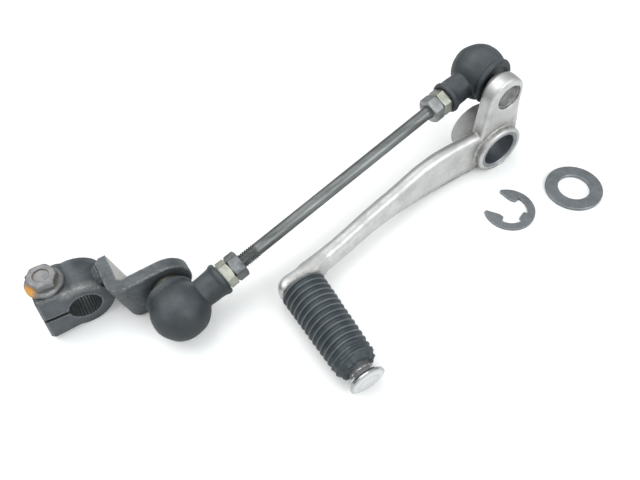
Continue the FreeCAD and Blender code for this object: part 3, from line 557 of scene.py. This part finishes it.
STUD_END = bare_steel("stud_end_rough", (0.29, 0.29, 0.285), 0.54, (0.15, 0.15, 0.145), 0.7)
RUBBER = rubber("boot_rubber", (0.017, 0.023, 0.027), 0.50)
GRIP = rubber("grip_rubber", (0.018, 0.028, 0.035), 0.40, 0.85)
RUBBED_RIM = [(block_rim(degrees), RUB_REACH) for degrees in range(48, 112, 10)]
BLACK = worn_black("clamp_black_worn", worn_places=RUBBED_RIM)
BRACKET = worn_black("bracket_black_worn", LEG_INNER_WAY, LEG_SCRAPED_BEHIND, 0.13)
WELD = worn_black("weld_scale", extra_wear=0.15)
SEAT = seat_plastic("seat_plastic")

bolt_low, bolt_high = (Vector(corner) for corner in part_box("pinch_bolt"))
rust_spot = Vector((bolt_low.x + 1.5 * MM, bolt_low.y + 5.0 * MM, bolt_high.z - 4.8 * MM))
BOLT = rusty_bolt("pinch_bolt_rusty", rust_spot, RUST_REACH)

NODE_MATERIALS = {
    "shift_lever": CAST,
    "pivot_bush": BUSH,
    "toe_peg": PEG,
    "upper_ball_stud": STUD_END,
    "lower_ball_stud": STUD_ZINC,
    "pivot_washer": STEEL,
    "pivot_e_ring": STEEL,
    "upper_ball_seat": SEAT,
    "lower_ball_seat": SEAT,
    "upper_rod_end": ZINC,
    "lower_rod_end": ZINC,
    "upper_seat_cap": ZINC,
    "lower_seat_cap": ZINC,
    "upper_lock_nut": PALE_NUT,
    "lower_lock_nut": NUT,
    "clamp_bracket": BRACKET,
    "clamp_block": BLACK,
    "pinch_bolt": BOLT,
}


def paint(obj, material):
    obj.data.materials.clear()
    obj.data.materials.append(material)


def stand_in(piece, node, body, material):
    """Paints a finished piece and puts it in a CAD node's place on one body."""
    paint(piece, material)
    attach(piece, body)
    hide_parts(node)


for node, material in NODE_MATERIALS.items():
    paint(frame["nodes"][node], material)


# ---------------------------------------------------------------- casting
CAST_VOXEL = 0.34 * MM
WEIGHT_LEVELS = 8
# Smoothing: name, passes, where it starts along X, and how far it fades in.
CAST_ROUNDING = (
    ("all_over", 12, 1000 * MM, 1 * MM),
    ("along_arm", 90, -16 * MM, 14 * MM),
    ("elbow", 160, -98 * MM, 8 * MM),
)
# Metal given back afterwards: thickness, start and fade.
CAST_REFILL = (
    (0.40 * MM, -16 * MM, 14 * MM),
    (0.45 * MM, -98 * MM, 8 * MM),
)


def share_beyond(x, start, fade):
    """0 on the boss side of start, rising to 1 over the fade length towards the toe."""
    return min(1.0, max(0.0, (start - x) / fade))


def build_casting():
    """The lever with its corners blended: lightly all over, more along the hand-polished arm and elbow."""
    lever = frame["nodes"]["shift_lever"]
    cast = mesh_object("shift_lever_cast", [], [])
    cast.data = lever.data.copy()
    place(cast, lever.matrix_world)
    remesh(cast, CAST_VOXEL)
    apply_modifiers(cast)
    for name, passes, start, fade in CAST_ROUNDING:
        group = cast.vertex_groups.new(name=name)
        members = [[] for _ in range(WEIGHT_LEVELS + 1)]
        for vertex in cast.data.vertices:
            level = round(share_beyond(vertex.co.x, start, fade) * WEIGHT_LEVELS)
            members[level].append(vertex.index)
        for level, indices in enumerate(members):
            group.add(indices, level / WEIGHT_LEVELS, "REPLACE")
        relax(cast, passes, name)
    apply_modifiers(cast)
    swell(cast, lambda p: sum(amount * share_beyond(p.x, start, fade) for amount, start, fade in CAST_REFILL))
    cast.data.shade_smooth()
    stand_in(cast, "shift_lever", "lever", CAST)


# ---------------------------------------------------------------- link rod with real threads
THREAD_PITCH = 1.0 * MM
THREAD_OUTER = 3.0 * MM
THREAD_ROOT = 2.45 * MM
SHANK = 2.67 * MM
ROD_START = 11.5 * MM
LOWER_THREAD_END = 37.5 * MM
UPPER_THREAD_END = 31.0 * MM
RINGS_PER_TURN = 9
SHANK_RINGS = 60
ROD_AROUND = 40
THREAD_FADE = 1.2 * MM
TIP_LENGTH = 1.0 * MM
TIP_CHAMFER = 0.5 * MM
SHANK_GAP = 0.3 * MM


def thread_radius(x, angle, hand):
    """V thread with a small flat crest."""
    turn = (x / THREAD_PITCH - hand * angle / (2 * math.pi)) % 1.0
    height = min(1.0, 1.25 * (1 - abs(2 * turn - 1)))
    return THREAD_ROOT + (THREAD_OUTER - THREAD_ROOT) * height


def rod_radius(x, angle):
    """Plain shank between a left-hand thread at the lower end and a right-hand one at the upper end."""
    far = ROD_LENGTH - x
    if x < LOWER_THREAD_END or far < UPPER_THREAD_END:
        hand = -1 if x < LOWER_THREAD_END else 1
        thread = thread_radius(x, angle, hand)
        edge = min(abs(x - LOWER_THREAD_END), abs(far - UPPER_THREAD_END))
        fade = min(1.0, edge / THREAD_FADE)
        start = min(1.0, (min(x, far) - ROD_START) / TIP_LENGTH)
        return SHANK + (thread - SHANK) * fade - TIP_CHAMFER * (1 - start)
    return SHANK


def build_rod():
    step = THREAD_PITCH / RINGS_PER_TURN
    lower_rings = int((LOWER_THREAD_END - ROD_START) / step)
    upper_rings = int((UPPER_THREAD_END - ROD_START) / step)
    places = spaced(ROD_START, LOWER_THREAD_END, lower_rings)
    places += spaced(LOWER_THREAD_END + SHANK_GAP, ROD_LENGTH - UPPER_THREAD_END - SHANK_GAP, SHANK_RINGS)
    places += spaced(ROD_LENGTH - UPPER_THREAD_END, ROD_LENGTH - ROD_START, upper_rings)
    rod = place(lathe("link_rod_threaded", places, ROD_AROUND, rod_radius), LOWER)
    stand_in(rod, "link_rod", "rod", ROD)


# ---------------------------------------------------------------- toe rubber
GRIP_LENGTH = peg_high.y - peg_low.y
GRIP_INNER = (peg_high.x - peg_low.x) / 2
GRIP_OUTER = 8.2 * MM
GRIP_RIBS = 15
GRIP_AROUND = 112
GRIP_RINGS = 230
CREST_SHARPNESS = 4.5
RIB_DEPTH = 1.15 * MM
WORN_RIB_LOSS = 0.6 * MM
WORN_FROM = 0.76
TORN_BULGE = 0.75 * MM
SKIN_RIPPLE = 0.10 * MM
DENT_DEPTH = 0.9 * MM
END_ROUNDING = 1.7 * MM
RIM_TEAR = 0.35 * MM


def grip_radius(x, angle):
    """Thin raised ribs with wide hollow grooves; the outer end is squashed and torn."""
    t = x / GRIP_LENGTH
    mean = GRIP_INNER + (GRIP_OUTER - GRIP_INNER) * t
    lean = 0.35 * math.sin(angle + 0.6)
    lean += 0.22 * noise.noise(Vector((math.cos(angle), math.sin(angle), t * 3)))
    phase = t * (GRIP_RIBS + 0.6) - 0.5 + lean * 0.35 * (0.4 + t)
    rib = abs(math.cos(math.pi * phase)) ** CREST_SHARPNESS
    worn = max(0.0, (t - WORN_FROM) / (1 - WORN_FROM))
    depth = RIB_DEPTH - WORN_RIB_LOSS * worn
    cuff = min(1.0, t / 0.035)
    radius = mean - depth * (1 - rib) * cuff
    where = Vector((3.2 * math.cos(angle), 3.2 * math.sin(angle), t * 9))
    radius += TORN_BULGE * worn * noise.noise(where * 1.4)
    radius += SKIN_RIPPLE * noise.noise(where * 0.9)
    dent = math.exp(-((t - 0.86) / 0.05) ** 2 - ((angle - 1.15) / 0.38) ** 2)
    radius -= DENT_DEPTH * dent
    ends = min(t / 0.02, (1 - t) / 0.10, 1.0)
    return radius - END_ROUNDING * (1 - ends) ** 2


def close_rim(mesh, rim, x, outer_end):
    """Ragged end face from a rim of the sleeve in to the peg."""
    inner = []
    for angle in around_circle(GRIP_AROUND):
        across, up = math.cos(angle), math.sin(angle)
        jag = RIM_TEAR * noise.noise(Vector((6 * across, 6 * up, x)))
        inner.append(mesh.verts.new((x + jag, PEG_RADIUS * across, PEG_RADIUS * up)))
    for k in range(GRIP_AROUND):
        after = (k + 1) % GRIP_AROUND
        corners = (rim[k], rim[after], inner[after], inner[k])
        mesh.faces.new(corners if outer_end else tuple(reversed(corners)))


def mark_crests(grip):
    """Stores how far each point stands on a rib's crest, for the pale wear and painted highlight on them."""
    crest = grip.data.attributes.new("crest", "FLOAT", "POINT")
    for point, value in zip(grip.data.vertices, crest.data):
        t = point.co.x / GRIP_LENGTH
        out = math.hypot(point.co.y, point.co.z)
        mean = GRIP_INNER + (GRIP_OUTER - GRIP_INNER) * t
        fresh = min(1.0, max(0.25, (0.97 - t) / 0.2))
        value.value = fresh * min(1.0, max(0.0, (out - mean + 0.42 * MM) / (0.35 * MM)))


def build_grip():
    places = spaced(0.0, GRIP_LENGTH, GRIP_RINGS)
    grip = lathe("toe_rubber_ribbed", places, GRIP_AROUND, grip_radius, closed=False)
    mesh = bmesh.new()
    mesh.from_mesh(grip.data)
    mesh.verts.ensure_lookup_table()
    last = (GRIP_RINGS - 1) * GRIP_AROUND
    first_rim = list(mesh.verts[0:GRIP_AROUND])
    last_rim = list(mesh.verts[last:last + GRIP_AROUND])
    close_rim(mesh, first_rim, 0.2 * MM, False)
    close_rim(mesh, last_rim, GRIP_LENGTH - 0.5 * MM, True)
    mesh.to_mesh(grip.data)
    mesh.free()
    grip.data.shade_smooth()
    mark_crests(grip)
    outward = Matrix(((0, 1, 0), (-1, 0, 0), (0, 0, 1))).to_4x4()
    place(grip, Matrix.Translation((PEG_X, peg_high.y, PEG_Z)) @ outward)
    stand_in(grip, "toe_rubber", "lever", GRIP)


# ---------------------------------------------------------------- dust boots
BOOT_RADIUS = 11.6 * MM
BOOT_NECK_END = 20.3 * MM
BOOT_VOXEL = 0.36 * MM
BOOT_SAG = 0.20 * MM
BOOT_CRUMPLE = 0.07 * MM
DOME_RINGS = 38
DOME_STEP = math.pi / 54


def dome_profile():
    """Dome from its pole up to the waist, a groove, then the fat lip that grips the stud."""
    points = []
    for i in range(1, DOME_RINGS + 1):
        polar = DOME_STEP * i
        points.append((BOOT_RADIUS * math.sin(polar), -BOOT_RADIUS * math.cos(polar)))
    points += [
        (9.25 * MM, 6.6 * MM),
        (8.95 * MM, 6.75 * MM),
        (9.35 * MM, 6.95 * MM),
        (9.85 * MM, 7.4 * MM),
        (10.1 * MM, 8.1 * MM),
        (10.0 * MM, 8.9 * MM),
        (9.4 * MM, 9.6 * MM),
        (8.4 * MM, 9.9 * MM),
        (7.2 * MM, 9.5 * MM),
        (6.5 * MM, 8.8 * MM),
        (3.4 * MM, 8.6 * MM),
    ]
    return points


def build_boot(name, joint, node, variant):
    """Moulded boot in a joint's frame; the variant gives each one its own dents."""
    dome = profile_solid("dome", dome_profile())
    along_x = Matrix(((0, 0, 1), (0, 1, 0), (-1, 0, 0))).to_4x4()
    neck = profile_solid("neck", [
        (5.95 * MM, 4.0 * MM),
        (5.95 * MM, 11.5 * MM),
        (6.1 * MM, 15.5 * MM),
        (6.3 * MM, 17.4 * MM),
        (6.7 * MM, 18.0 * MM),
        (6.95 * MM, 18.7 * MM),
        (6.9 * MM, 19.5 * MM),
        (6.5 * MM, 20.1 * MM),
        (5.9 * MM, BOOT_NECK_END + 0.1 * MM),
        (5.2 * MM, BOOT_NECK_END - 0.2 * MM),
    ], 56)
    place(neck, along_x)
    boot = join_meshes(name, [dome, neck])
    remesh(boot, BOOT_VOXEL)
    relax(boot, 4)
    apply_modifiers(boot)
    swell(boot, lambda p: BOOT_SAG * noise.noise(p * 160 + Vector((variant, 0, 3)))
          + BOOT_CRUMPLE * noise.noise(p * 420 + Vector((0, variant, 5))))
    boot.data.shade_smooth()
    paint(boot, RUBBER)
    place(boot, joint)
    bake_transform(boot)
    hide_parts(node)


# ---------------------------------------------------------------- weld
# Section of a bead square to the shaft, in millimetres out and up from it: the open side, from the block
# to the leg, and then the side buried in the corner.
WELD_OPEN_SIDE = ((8.6, 7.3), (9.3, 7.5), (10.1, 7.8), (10.9, 8.2), (11.7, 8.5))
WELD_BURIED_SIDE = ((11.7, 4.6), (9.8, 5.4), (8.9, 6.6))
WELD_RINGS = 60
WELD_RIPPLES = 7


def weld_ring(t, way):
    """Section of the upper (way 1) or lower (way -1) bead at a share t of its length, sunk at both ends."""
    ripple = abs(math.sin(t * math.pi * WELD_RIPPLES + way))
    end = min(1.0, 4 * t, 4 * (1 - t))
    ring = []
    for k, (x, z) in enumerate(WELD_OPEN_SIDE + WELD_BURIED_SIDE):
        if k < len(WELD_OPEN_SIDE):
            z += 0.15 * ripple + 0.3 * noise.noise(Vector((k * 0.6, t * 7, way))) - 1.7 * (1 - end) ** 2
        ring.append(Vector((x * MM, 0, way * z * MM)))
    return ring


def build_weld():
    """Rippled beads along the seams between the round block and the leaning leg."""
    low, high = (Vector(corner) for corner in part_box("bracket_weld"))
    shaft = Vector(mounts["shift_shaft_clamp"]["pos_m"])
    lean = Matrix.Rotation(-LEG_LEAN, 3, "Y")
    beads = []
    for way in (1, -1):
        rings = []
        for t in spaced(0.0, 1.0, WELD_RINGS):
            along = Vector((shaft.x, low.y + (high.y - low.y) * t, shaft.z))
            rings.append([lean @ point + along for point in weld_ring(t, way)])
        beads.append(tube("bead", rings))
    weld = join_meshes("bracket_weld_beads", beads)
    recalculate_normals(weld)
    rounded = weld.modifiers.new("rounded", "SUBSURF")
    rounded.levels = 2
    rounded.render_levels = 2
    weld.data.shade_smooth()
    stand_in(weld, "bracket_weld", "clamp_arm", WELD)


build_casting()
build_rod()
build_grip()
build_boot("upper_dust_boot_rubber", UPPER, "upper_dust_boot", 1)
build_boot("lower_dust_boot_rubber", LOWER, "lower_dust_boot", 2)
build_weld()


# ---------------------------------------------------------------- floor, light and camera
# Glow that only the camera sees, which keeps the shadows on the white floor light.
FLOOR_GLOW = 0.12
FLOOR_HALF = 3.0
CAMERA_AT = (-0.1572, -0.1332, 0.1997)
CAMERA_TURN = (-27.17, 54.73, -5.24)    # azimuth, elevation and roll in degrees
CAMERA_LENS = 33.72
LIGHTS_AIM = (-0.08, -0.02, 0.0)


def floor():
    level = cad_box[0][2]
    corners = [(x * FLOOR_HALF, y * FLOOR_HALF, level) for x, y in ((-1, -1), (1, -1), (1, 1), (-1, 1))]
    plane = mesh_object("floor", corners, [(0, 1, 2, 3)])
    g = Graph("floor_white", 0.0, 0.55, (0.9, 0.9, 0.9))
    cloud = g.noise(6, 3)
    g.into(g.mix(cloud, (0.90, 0.905, 0.90), (0.87, 0.88, 0.875)), "Base Color")
    seen = g.add("ShaderNodeLightPath").outputs["Is Camera Ray"]
    g.into((1.0, 1.0, 1.0), "Emission Color")
    g.into(g.math("MULTIPLY", seen, FLOOR_GLOW), "Emission Strength")
    g.relief((g.noise(900, 3), 0.03, 0.1 * MM))
    paint(plane, g.material)
    plane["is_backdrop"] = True
    keep_below(plane, level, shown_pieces())


def keep_below(plane, level, pieces):
    """Lowers the floor, whenever the joints carry a piece below it, to that piece's lowest point."""
    tree = bpy.data.node_groups.new("floor_level", "GeometryNodeTree")
    for way in ("INPUT", "OUTPUT"):
        tree.interface.new_socket("Geometry", in_out=way, socket_type="NodeSocketGeometry")

    def worked_out(operation, a, b):
        node = tree.nodes.new("ShaderNodeMath")
        node.operation = operation
        tree.links.new(a, node.inputs[0])
        tree.links.new(b, node.inputs[1])
        return node.outputs["Value"]

    rest = tree.nodes.new("ShaderNodeValue").outputs["Value"]
    rest.default_value = level
    lowest = rest
    for piece in pieces:
        shape = tree.nodes.new("GeometryNodeObjectInfo")
        shape.transform_space = "RELATIVE"
        shape.inputs["Object"].default_value = piece
        box = tree.nodes.new("GeometryNodeBoundBox")
        tree.links.new(shape.outputs["Geometry"], box.inputs["Geometry"])
        corner = tree.nodes.new("ShaderNodeSeparateXYZ")
        tree.links.new(box.outputs["Min"], corner.inputs["Vector"])
        lowest = worked_out("MINIMUM", lowest, corner.outputs["Z"])
    down = tree.nodes.new("ShaderNodeCombineXYZ")
    tree.links.new(worked_out("SUBTRACT", lowest, rest), down.inputs["Z"])
    move = tree.nodes.new("GeometryNodeSetPosition")
    tree.links.new(tree.nodes.new("NodeGroupInput").outputs[0], move.inputs["Geometry"])
    tree.links.new(down.outputs["Vector"], move.inputs["Offset"])
    tree.links.new(move.outputs["Geometry"], tree.nodes.new("NodeGroupOutput").inputs[0])
    plane.modifiers.new("floor_level", "NODES").node_group = tree


def area_light(name, place_at, aim, size, power, colour=(1, 1, 1)):
    light = bpy.data.lights.new(name, "AREA")
    light.size = size
    light.energy = power
    light.color = colour
    obj = bpy.data.objects.new(name, light)
    obj.location = place_at
    obj.rotation_euler = (Vector(aim) - Vector(place_at)).to_track_quat("-Z", "Y").to_euler()
    bpy.context.scene.collection.objects.link(obj)


def camera():
    azimuth, elevation, roll = (math.radians(v) for v in CAMERA_TURN)
    right = Vector((math.cos(azimuth), math.sin(azimuth), 0))
    ahead = Vector((-math.sin(azimuth) * math.cos(elevation), math.cos(azimuth) * math.cos(elevation),
                    -math.sin(elevation)))
    up = right.cross(ahead)
    side = right * math.cos(roll) + up * math.sin(roll)
    top = up * math.cos(roll) - right * math.sin(roll)
    data = bpy.data.cameras.new("camera")
    data.lens = CAMERA_LENS
    data.clip_start = 0.01
    obj = bpy.data.objects.new("camera", data)
    turned = Matrix((side, top, -ahead)).transposed().to_4x4()
    obj.matrix_world = Matrix.Translation(CAMERA_AT) @ turned
    bpy.context.scene.collection.objects.link(obj)
    bpy.context.scene.camera = obj


def studio_world():
    """Soft room light: brightest high in front, dark towards the horizon, with a pale backdrop."""
    world = bpy.data.worlds.new("studio")
    world.use_nodes = True
    tree = world.node_tree
    background = tree.nodes["Background"]
    where = tree.nodes.new("ShaderNodeTexCoord").outputs["Generated"]
    split = tree.nodes.new("ShaderNodeSeparateXYZ")
    tree.links.new(where, split.inputs["Vector"])
    height = tree.nodes.new("ShaderNodeValToRGB")
    stops = ((0.0, 0.16), (0.10, 0.20), (0.32, 0.75), (0.75, 1.0))
    while len(height.color_ramp.elements) < len(stops):
        height.color_ramp.elements.new(0.5)
    for element, (position, value) in zip(height.color_ramp.elements, stops):
        element.position = position
        element.color = (value * 0.97, value * 0.99, value, 1)
    tree.links.new(split.outputs["Z"], height.inputs["Fac"])
    front = tree.nodes.new("ShaderNodeMapRange")
    front.inputs["From Min"].default_value = -0.6
    front.inputs["From Max"].default_value = 0.6
    front.inputs["To Min"].default_value = 1.05
    front.inputs["To Max"].default_value = 0.62
    tree.links.new(split.outputs["Y"], front.inputs["Value"])
    tree.links.new(height.outputs["Color"], background.inputs["Color"])
    tree.links.new(front.outputs["Result"], background.inputs["Strength"])
    backdrop = tree.nodes.new("ShaderNodeBackground")
    backdrop.inputs["Color"].default_value = (0.93, 0.94, 0.94, 1)
    seen = tree.nodes.new("ShaderNodeMixShader")
    tree.links.new(tree.nodes.new("ShaderNodeLightPath").outputs["Is Camera Ray"], seen.inputs["Fac"])
    tree.links.new(background.outputs["Background"], seen.inputs[1])
    tree.links.new(backdrop.outputs["Background"], seen.inputs[2])
    tree.links.new(seen.outputs["Shader"], tree.nodes["World Output"].inputs["Surface"])
    bpy.context.scene.world = world


floor()
area_light("key", (-0.30, 0.32, 0.75), LIGHTS_AIM, 0.80, 4.3)
area_light("window", (0.15, -0.75, 0.62), LIGHTS_AIM, 0.60, 4.0, (0.97, 0.99, 1.0))
camera()
studio_world()
bpy.context.scene.view_settings.view_transform = "Standard"
bpy.context.scene.view_settings.exposure = 0.0
